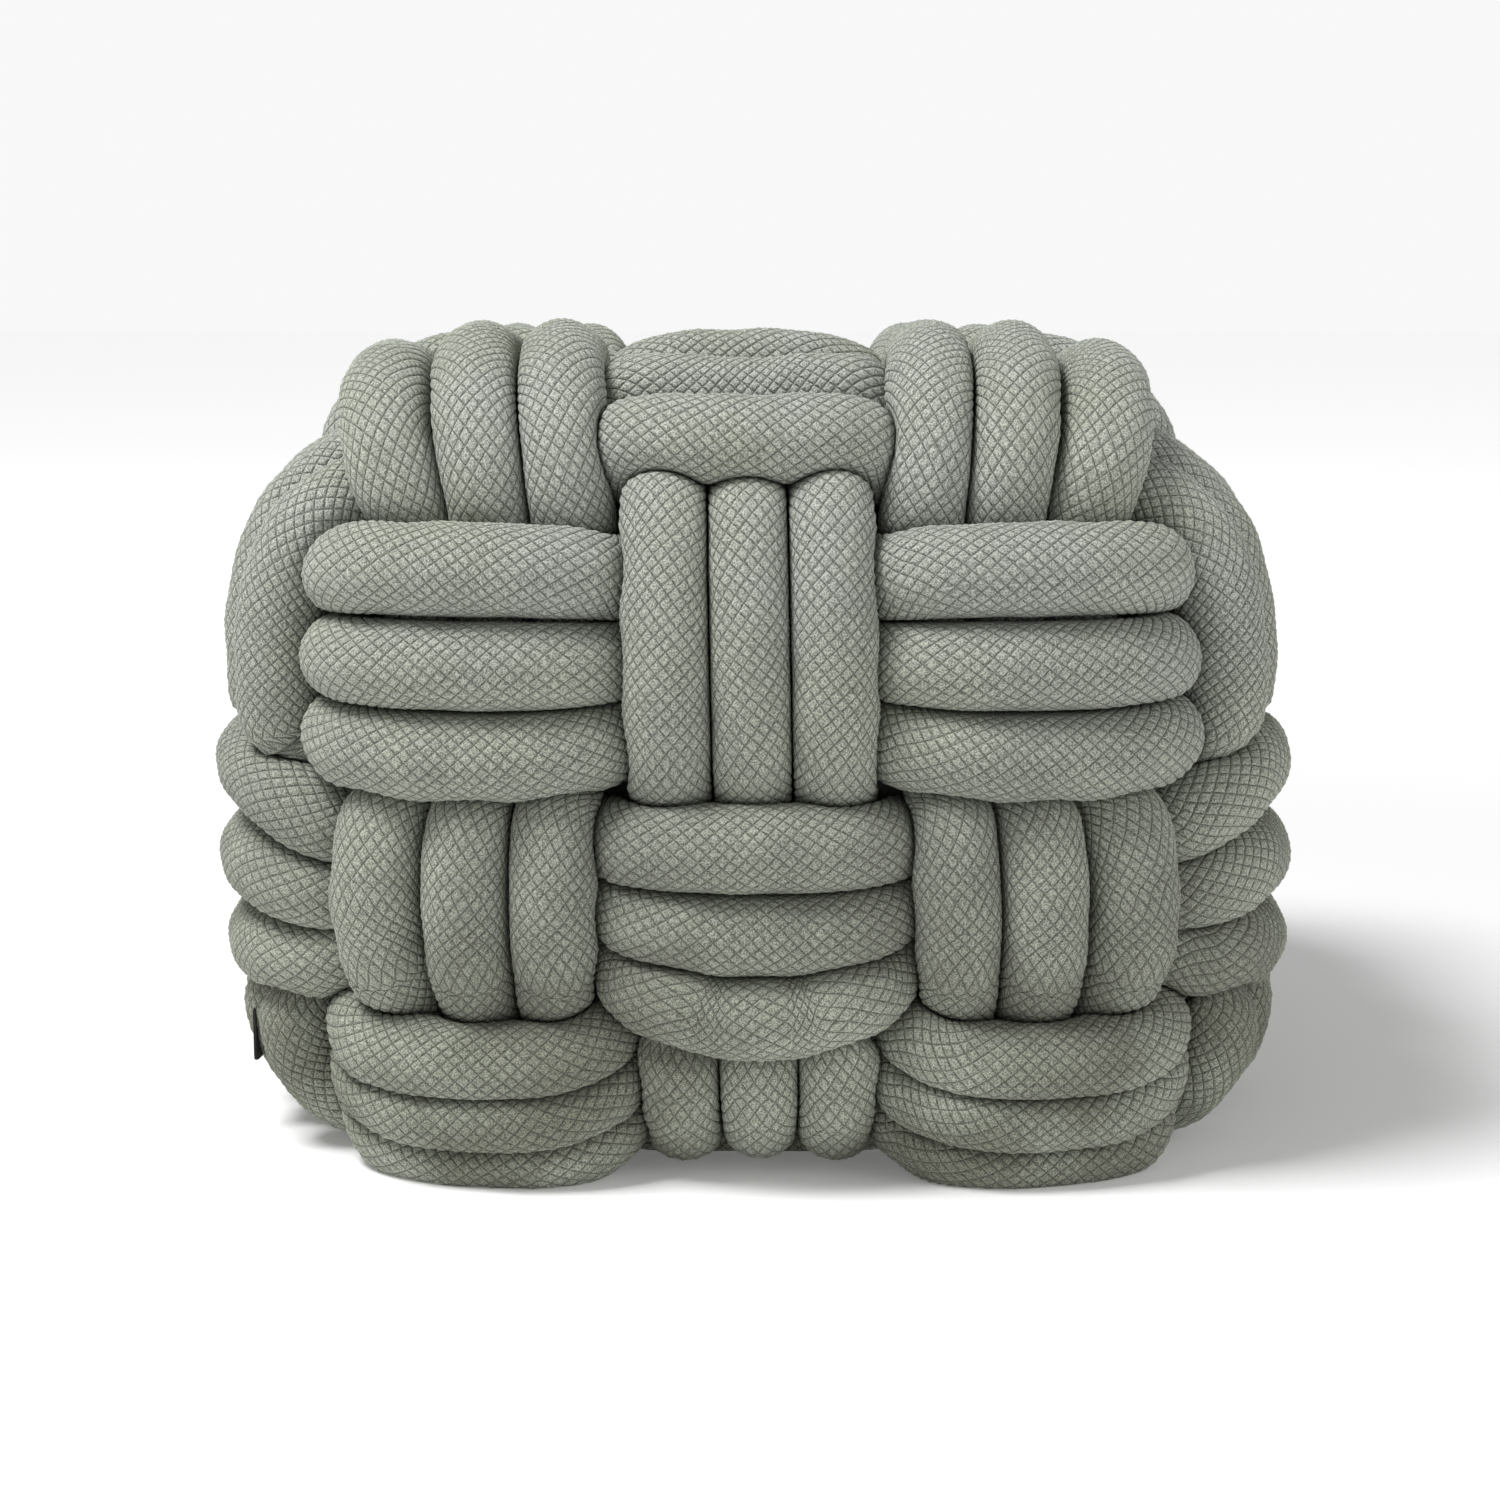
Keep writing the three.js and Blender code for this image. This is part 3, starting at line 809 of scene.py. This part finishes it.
@dataclass(frozen=True)
class QuiltedKnit:
    """The sage grey-green air-layer knit with its sunk diamond grid."""

    light_yarn: Colour = (0.59, 0.62, 0.56, 1)
    dark_yarn: Colour = (0.22, 0.232, 0.205, 1)
    # painted shade: a near-black blended in along the sunk grooves, where shade falls
    painted_groove_shade: Colour = (0.075, 0.079, 0.067, 1)
    # painted shade: the cloth is darkened towards the base, where the lower strands get less light
    painted_low_shade: Colour = (0.49, 0.49, 0.41, 1)
    warm_tone: Colour = (0.90, 0.91, 0.83, 1)
    painted_shade_top: float = 0.38  # the height above which the cloth has no painted shade
    tone_scale: float = 14.0
    yarn_scale: float = 1400.0
    stitch_scale: float = 2000.0
    groove_edges: tuple[float, float] = (0.85, 0.97)  # where a groove's painted shade begins and is darkest
    groove_shade: float = 0.68
    roughness: float = 0.95
    sheen: float = 0.12
    sheen_roughness: float = 0.6
    specular: float = 0.2
    cell_height: float = 0.0014
    stitch_height: float = 0.0006
    crown_power: float = 4.0  # the higher, the flatter a cell's top

    def walls(self, nodes: Nodes) -> list[bpy.types.NodeSocket]:
        """0 along the middle of a row of cells and 1 on its groove, for both slopes."""
        place = nodes.add("ShaderNodeUVMap", uv_map="quilting").outputs[0]
        split = nodes.add("ShaderNodeSeparateXYZ", {0: place})
        along, around = split.outputs[0], split.outputs[1]
        found = []
        for slope in (nodes.math("ADD", along, around), nodes.math("SUBTRACT", along, around)):
            centred = nodes.math("SUBTRACT", nodes.math("FRACT", slope), 0.5)
            found.append(nodes.math("MULTIPLY", nodes.math("ABSOLUTE", centred), 2.0))
        return found

    def material(self) -> bpy.types.Material:
        """Cells swell between grooves where u + v or u - v is whole, with fine knit flecks and painted
        shade in the grooves and towards the base.
        """
        nodes = Nodes("quilted_knit")
        walls = self.walls(nodes)
        # painted shade in the grooves: the cloth is blended towards a near-black along them
        groove_shade_ramp = nodes.ramp(nodes.math("MAXIMUM", *walls), *self.groove_edges)
        groove = nodes.math("MULTIPLY", groove_shade_ramp, self.groove_shade)
        crowns = [
            nodes.math("SUBTRACT", 1.0, nodes.math("POWER", wall, self.crown_power)) for wall in walls
        ]
        crown = nodes.math("MULTIPLY", nodes.math("MULTIPLY", *crowns), self.cell_height)
        stitches = nodes.math("MULTIPLY", nodes.noise(self.stitch_scale, 1.0), self.stitch_height)
        yarn = nodes.ramp(nodes.noise(self.yarn_scale, 1.0), 0.34, 0.66)
        cloth = nodes.mix(yarn, self.dark_yarn, self.light_yarn)
        # the cloth is darkened by painted shade towards the base and tinted in random patches
        shaded_patched_cloth = nodes.mix(1.0, cloth, self.painted_shade_and_patches(nodes), "MULTIPLY")
        colour = nodes.mix(groove, shaded_patched_cloth, self.painted_groove_shade)
        nodes.feed(nodes.shader.inputs["Base Color"], colour)
        nodes.shader.inputs["Roughness"].default_value = self.roughness
        nodes.shader.inputs["Specular IOR Level"].default_value = self.specular
        nodes.shader.inputs["Sheen Weight"].default_value = self.sheen
        nodes.shader.inputs["Sheen Roughness"].default_value = self.sheen_roughness
        nodes.bump(nodes.math("ADD", crown, stitches), 1.0, 1.0)
        return nodes.material

    def painted_shade_and_patches(self, nodes: Nodes) -> bpy.types.NodeSocket:
        """Painted shade that darkens the cloth towards the base, and a slightly warmer tint in random
        patches.
        """
        place = nodes.add("ShaderNodeTexCoord").outputs["Object"]
        height = nodes.add("ShaderNodeSeparateXYZ", {0: place}).outputs[2]
        # painted shade: darkest at the floor, none above the top height
        painted_shade_by_height = nodes.mix(nodes.ramp(height, 0.0, self.painted_shade_top), self.painted_low_shade, (1, 1, 1, 1))
        patches = nodes.ramp(nodes.noise(self.tone_scale, 3.0), 0.35, 0.7)
        return nodes.mix(patches, painted_shade_by_height, self.warm_tone)


@dataclass(frozen=True)
class PlainCloth:
    """A plain woven cloth, for the parts inside the pouf and for the label."""

    name: str
    colour: Colour
    thread: float = 0.0006
    roughness: float = 0.85

    def material(self) -> bpy.types.Material:
        """Threads cross as two sets of waves on the piece's own coordinates."""
        nodes = Nodes(self.name)
        place = nodes.add("ShaderNodeTexCoord").outputs["Object"]
        split = nodes.add("ShaderNodeSeparateXYZ", {0: place})
        turns = 2 * math.pi / self.thread
        waves = [nodes.math("SINE", nodes.math("MULTIPLY", split.outputs[k], turns)) for k in range(3)]
        height = nodes.math("ADD", nodes.math("MULTIPLY", waves[0], waves[1]), waves[2])
        worn = nodes.ramp(nodes.noise(40.0, 3.0), 0.3, 0.8)
        darker = tuple(0.8 * part for part in self.colour[:3]) + (1,)
        nodes.feed(nodes.shader.inputs["Base Color"], nodes.mix(worn, self.colour, darker))
        nodes.shader.inputs["Roughness"].default_value = self.roughness
        nodes.bump(height, self.thread / 4, 0.4)
        return nodes.material


@dataclass(frozen=True)
class FloorPaint:
    """The plain pale floor, which is lit from below farther out, so that it meets the wall."""

    colour: Colour = (0.93, 0.93, 0.93, 1)
    near_glow: float = 0.12
    far_glow: float = 0.66
    near: float = 0.5
    far: float = 2.2

    def material(self) -> bpy.types.Material:
        """A matte white that glows by its distance from the middle."""
        nodes = Nodes("pale_floor")
        place = nodes.add("ShaderNodeTexCoord").outputs["Object"]
        distance = nodes.add("ShaderNodeVectorMath", {0: place}, operation="LENGTH").outputs["Value"]
        glow = nodes.math("MULTIPLY_ADD", nodes.ramp(distance, self.near, self.far),
                          self.far_glow - self.near_glow, self.near_glow)
        nodes.feed(nodes.shader.inputs["Emission Strength"], glow)
        nodes.shader.inputs["Emission Color"].default_value = (1, 1, 1, 1)
        nodes.shader.inputs["Base Color"].default_value = self.colour
        nodes.shader.inputs["Roughness"].default_value = 0.9
        nodes.shader.inputs["Specular IOR Level"].default_value = 0.1
        return nodes.material


@dataclass
class Weave:
    """The 27 loops, laid, settled and covered."""

    size: StrandSize = StrandSize()
    side_cover: float = 0.0451  # from the centre surface to the outermost strands
    top_cover: float = 0.0287  # the same at the top's front edge
    crown: float = 0.029  # from where the sides end to that edge
    edge_round: float = 0.0215  # width that each rounded edge takes from a face
    bottom: float = 0.027  # height of the centre surface under the pouf
    fill: float = 0.85
    neighbour_points: int = 300  # of each strand, to press against

    def surface_and_layout(self) -> tuple[CentreSurface, WeaveLayout]:
        """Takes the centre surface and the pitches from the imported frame.

        Returns:
            The centre surface and the layout of the strands on it.
        """
        low, high = CAD_BOX
        half_width = (high[1] - low[1]) / 2 - self.side_cover
        top = high[2] - self.top_cover
        next_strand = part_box("fore_aft_middle_3")
        strand_pitch = (next_strand[0].x + next_strand[1].x) / 2
        band_pitch = 2 * (half_width - self.edge_round) / 3
        side_rise = top - self.crown - self.bottom
        layout = WeaveLayout(band_pitch, strand_pitch, half_width, self.bottom, side_rise)
        return CentreSurface(half_width, top, self.bottom, layout.height(0)), layout

    def strands(self) -> list[Strand]:
        """Lays all 27 loops."""
        surface, layout = self.surface_and_layout()
        LOG.info("centre surface %s, layout %s", surface, layout)
        return [
            Strand(family, band, place, surface, layout, self.size)
            for family in Family for band in (-1, 0, 1) for place in (-1, 0, 1)
        ]

    def build(self) -> None:
        """Makes every strand's piece."""
        strands = self.strands()
        Settling().run(strands)
        skin = TubeSkin(self.size)
        lines = [resample_ring(strand.line, self.neighbour_points) for strand in strands]
        knit = QuiltedKnit().material()
        for index, strand in enumerate(strands):
            others = np.concatenate(lines[:index] + lines[index + 1:])
            piece = lattice_mesh(f"{strand.name}_tube", skin.grid(strand, others))
            piece.data.materials.append(knit)
            dress(piece, strand.name)


@dataclass(frozen=True)
class LooseFibre:
    """White polyester stuffing: a fluffy surface of crossing fibres."""

    light: Colour = (0.86, 0.86, 0.84, 1)
    shade: Colour = (0.62, 0.62, 0.60, 1)

    def material(self) -> bpy.types.Material:
        """Clumps and fine fibres, both from noise on the piece's own coordinates."""
        nodes = Nodes("loose_fibre")
        clumps = nodes.noise(45.0, 4.0)
        fibres = nodes.noise(900.0, 3.0)
        colour = nodes.mix(nodes.ramp(clumps, 0.35, 0.65), self.shade, self.light)
        nodes.feed(nodes.shader.inputs["Base Color"], colour)
        nodes.shader.inputs["Roughness"].default_value = 1.0
        nodes.shader.inputs["Sheen Weight"].default_value = 0.3
        nodes.bump(nodes.math("MULTIPLY_ADD", fibres, 0.2, clumps), 0.004, 0.6)
        return nodes.material


def vertex_places(mesh: bpy.types.Mesh) -> np.ndarray:
    """The mesh's vertices, n by 3."""
    places = np.empty(len(mesh.vertices) * 3)
    mesh.vertices.foreach_get("co", places)
    return places.reshape(-1, 3)


@dataclass
class CushionShape:
    """A closed soft block: the power sum |x|^n + |y|^n + |z|^n = 1 stretched over a node's box.

    Shallow wrinkles, deepest near the edges, are pressed into it, so it stays inside the box.
    They are two sets of sine waves, each bent by another.
    """

    node: str
    squareness: float
    cuts: int
    wrinkle: float = 0.0

    def build(self, suffix: str, material: bpy.types.Material) -> bpy.types.Object:
        """Makes the piece from an evenly cut cube.

        Args:
            suffix: What the piece's name adds to the node's.
            material: Its finish.

        Returns:
            The new object.
        """
        shape = bmesh.new()
        bmesh.ops.create_cube(shape, size=2)
        bmesh.ops.subdivide_edges(shape, edges=shape.edges[:], cuts=self.cuts, use_grid_fill=True)
        mesh = bpy.data.meshes.new(f"{self.node}_{suffix}")
        shape.to_mesh(mesh)
        shape.free()
        cube = vertex_places(mesh)
        round_off = (np.abs(cube) ** self.squareness).sum(1) ** (-1 / self.squareness)
        place = cube * round_off[:, None]
        low, high = (np.array(corner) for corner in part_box(self.node))
        folds = np.sin(19 * place[:, 0] + 5 * np.sin(4 * place[:, 1]))
        folds = folds + np.sin(17 * place[:, 1] + 5 * np.sin(5 * place[:, 0]) + 7 * place[:, 2])
        near_edge = (place**2).sum(1, keepdims=True) / 3
        depth = self.wrinkle * near_edge * (2 + folds[:, None]) / 4
        points = (low + high) / 2 + place * ((high - low) / 2 - depth)
        mesh.vertices.foreach_set("co", points.ravel())
        mesh.shade_smooth()
        mesh.materials.append(material)
        piece = bpy.data.objects.new(mesh.name, mesh)
        bpy.context.scene.collection.objects.link(piece)
        return piece


@dataclass
class InnerCushion:
    """The stuffed cushion that the loops are plaited round. It can't be seen from outside."""

    lining: PlainCloth = PlainCloth("lining_cloth", (0.62, 0.60, 0.55, 1))
    fibre: LooseFibre = LooseFibre()
    squareness: float = 3.6
    strip_squareness: float = 8
    fill: float = 0.9

    def build(self) -> None:
        """Makes the cover, the strip that closes it and the filling."""
        lining = self.lining.material()
        cover = CushionShape("core_cover", self.squareness, 47, wrinkle=0.004)
        dress(cover.build("cloth", lining), cover.node)
        strip = CushionShape("core_closing_strip", self.strip_squareness, 23, wrinkle=0.0002)
        dress(strip.build("tape", lining), strip.node)
        filling = CushionShape("core_filling", self.squareness, 39, wrinkle=0.006)
        dress(filling.build("fluff", self.fibre.material()), filling.node)


@dataclass
class BlankLabel:
    """The small dark tag sewn to a strand on the left side. It carries nothing."""

    cloth: PlainCloth = PlainCloth("label_cloth", (0.018, 0.018, 0.019, 1), thread=0.0004)
    squareness: float = 14
    curl: float = 0.0015

    def build(self) -> None:
        """Makes the tag as a thin cloth slab with a slight curl."""
        tag = CushionShape("label", self.squareness, 19).build("tag", self.cloth.material())
        points = vertex_places(tag.data)
        low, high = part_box("label")
        share = (points[:, 1] - low.y) / (high.y - low.y)
        points[:, 0] += self.curl * np.sin(share * math.pi)
        tag.data.vertices.foreach_set("co", points.ravel())
        dress(tag, "label")


def dress(piece: bpy.types.Object, node: str) -> None:
    """Ties a piece to the frame and reports it.

    Args:
        piece: The finished piece.
        node: The CAD node that it stands for.
    """
    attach(piece, BODY)
    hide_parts(node)
    LOG.info("%s: %d faces", piece.name, len(piece.data.polygons))


@dataclass(frozen=True)
class Lamp:
    """A square soft light that looks at the middle of the object."""

    name: str
    place: tuple[float, float, float]
    size: float
    power: float

    AIM: ClassVar[Vector] = Vector((0, 0, 0.2))

    def build(self) -> None:
        """Hangs the light and turns it."""
        light = bpy.data.lights.new(self.name, "AREA")
        light.size = self.size
        light.energy = self.power
        holder = bpy.data.objects.new(self.name, light)
        holder.location = self.place
        holder.rotation_euler = (self.AIM - holder.location).to_track_quat("-Z", "Y").to_euler()
        bpy.context.scene.collection.objects.link(holder)


@dataclass
class Studio:
    """A pale floor, a wall all round, soft light from the upper left and the camera."""

    eye: tuple[float, float, float] = (0.0, -1.68, 0.443)
    tilt: float = math.radians(9.3397)  # how far the camera looks down
    lens: float = 76.368  # on a sensor of the width below, in millimetres
    sensor: float = 36.0
    shift: float = -0.00733  # sideways, in widths of the picture
    floor_side: float = 12.0
    wall: float = 0.94  # its glow, and the ceiling's
    ceiling: float = 0.25
    wall_ends: tuple[float, float] = (0.12, 0.25)  # sines of the angles where it fades

    def build(self) -> None:
        """Makes the floor, the lights and the camera."""
        self.floor()
        self.world()
        Lamp("key", (-1.25, -0.6, 2.7), 1.0, 84.0).build()
        Lamp("fill", (2.2, -1.2, 1.2), 1.8, 14.0).build()
        self.camera()

    def floor(self) -> None:
        """A wide flat floor that isn't part of the object."""
        mesh = bpy.data.meshes.new("floor")
        side = self.floor_side
        corners = [(-side, -side, 0), (side, -side, 0), (side, side, 0), (-side, side, 0)]
        mesh.from_pydata(corners, [], [(0, 1, 2, 3)])
        mesh.materials.append(FloorPaint().material())
        floor = bpy.data.objects.new("floor", mesh)
        bpy.context.scene.collection.objects.link(floor)

    def world(self) -> None:
        """A white wall all round up to a low height, and a dimmer white ceiling."""
        world = bpy.data.worlds.new("studio")
        world.use_nodes = True
        tree = world.node_tree
        place = tree.nodes.new("ShaderNodeTexCoord")
        split = tree.nodes.new("ShaderNodeSeparateXYZ")
        wall = tree.nodes.new("ShaderNodeMapRange")
        wall.interpolation_type = "SMOOTHSTEP"
        names = ("From Min", "From Max", "To Min", "To Max")
        for name, value in zip(names, (*self.wall_ends, self.wall, self.ceiling)):
            wall.inputs[name].default_value = value
        tree.links.new(place.outputs["Generated"], split.inputs[0])
        tree.links.new(split.outputs["Z"], wall.inputs["Value"])
        background = tree.nodes["Background"]
        background.inputs["Color"].default_value = (1, 1, 1, 1)
        tree.links.new(wall.outputs["Result"], background.inputs["Strength"])
        bpy.context.scene.world = world
        bpy.context.scene.view_settings.view_transform = "Standard"

    def camera(self) -> None:
        """The camera looks slightly down on the front."""
        camera = bpy.data.cameras.new("camera")
        camera.sensor_width = self.sensor
        camera.lens = self.lens
        camera.shift_x = self.shift
        holder = bpy.data.objects.new("camera", camera)
        holder.location = self.eye
        holder.rotation_euler = (math.pi / 2 - self.tilt, 0, 0)
        bpy.context.scene.collection.objects.link(holder)
        bpy.context.scene.camera = holder


def main() -> None:
    """Builds the pouf and its studio, in order."""
    logging.basicConfig(level=logging.INFO, format="%(message)s")
    Weave().build()
    InnerCushion().build()
    BlankLabel().build()
    Studio().build()


if __name__ == "__main__":
    main()
